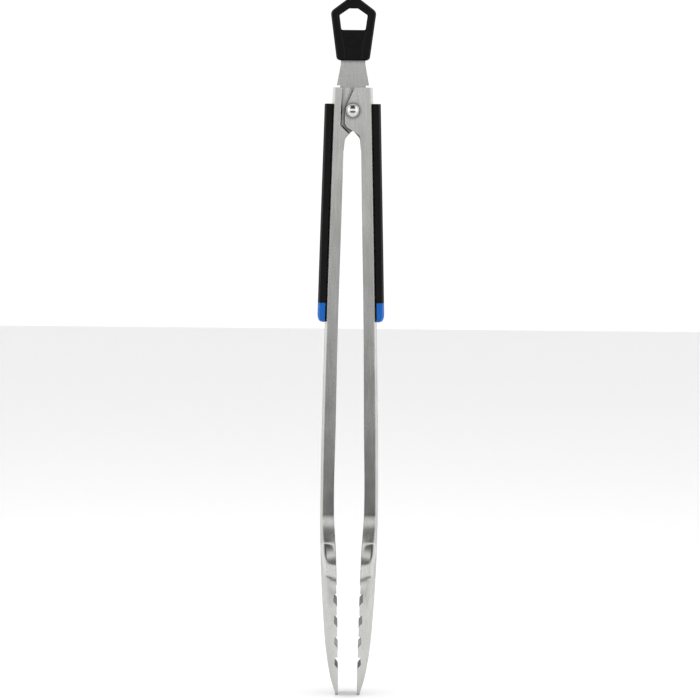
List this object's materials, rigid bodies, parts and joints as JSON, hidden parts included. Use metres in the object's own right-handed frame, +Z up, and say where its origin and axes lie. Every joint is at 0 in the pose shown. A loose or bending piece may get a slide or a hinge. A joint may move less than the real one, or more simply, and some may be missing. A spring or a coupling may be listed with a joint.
{
  "type": "spring loaded kitchen tongs",
  "caption": "Long stainless steel locking tongs: scoop jaws with notched rims, a lapped pin hinge with torsion springs, black grips with blue ends, and a pull-tab lock with a hang loop.",
  "frame": {"origin": "the hang face: the middle of the flat underside of the hang loop's top bar, which rests on a hook", "axes": "+Z up along the tongs from the jaws to the loop, X across the two arms with the right arm at +X, Y along the pivot pin with its domed head at -Y"},
  "size_m": [0.0436, 0.038, 0.4571],
  "materials": {
    "brushed_steel": "brushed along the arms, satin",
    "polished_steel": "polished",
    "spring_wire": "drawn wire",
    "black_plastic": "fine satin moulding",
    "blue_plastic": "satin moulding",
    "white_nylon": "natural nylon"
  },
  "bodies": {
    "lock_tab": {"hang_loop": "black_plastic", "lock_plate": "brushed_steel"},
    "pivot": {"pivot_pin": "polished_steel", "pivot_cap": "polished_steel", "front_washer": "polished_steel", "rear_washer": "polished_steel", "front_spacer": "white_nylon", "rear_spacer": "white_nylon", "front_spring": "spring_wire", "rear_spring": "spring_wire"},
    "right_arm": {"right_arm": "brushed_steel", "right_grip": "black_plastic", "right_grip_end": "blue_plastic", "right_upper_grip_rivet": "polished_steel", "right_lower_grip_rivet": "polished_steel"},
    "left_arm": {"left_arm": "brushed_steel", "left_grip": "black_plastic", "left_grip_end": "blue_plastic", "left_upper_grip_rivet": "polished_steel", "left_lower_grip_rivet": "polished_steel"}
  },
  "joints": [
    {"name": "tab_slide", "type": "slide", "parent": "lock_tab", "child": "pivot", "axis": [0, 0, 1], "range_m": [0, 0.008]},
    {"name": "right_arm_hinge", "type": "hinge", "parent": "pivot", "child": "right_arm", "pos_m": [0, 0, -0.066], "axis": [0, -1, 0], "range_deg": [-0.9, 6.5], "stiffness_Nm_per_rad": 1.6, "springref_deg": 0.86, "deforming": ["front_spring", "rear_spring"]},
    {"name": "left_arm_hinge", "type": "hinge", "parent": "pivot", "child": "left_arm", "pos_m": [0, 0, -0.066], "axis": [0, 1, 0], "range_deg": [-0.9, 6.5], "stiffness_Nm_per_rad": 1.6, "springref_deg": 0.86, "deforming": ["front_spring", "rear_spring"]}
  ],
  "couplings": [
    {"joint": "left_arm_hinge", "follows": "right_arm_hinge", "ratio": 1}
  ]
}
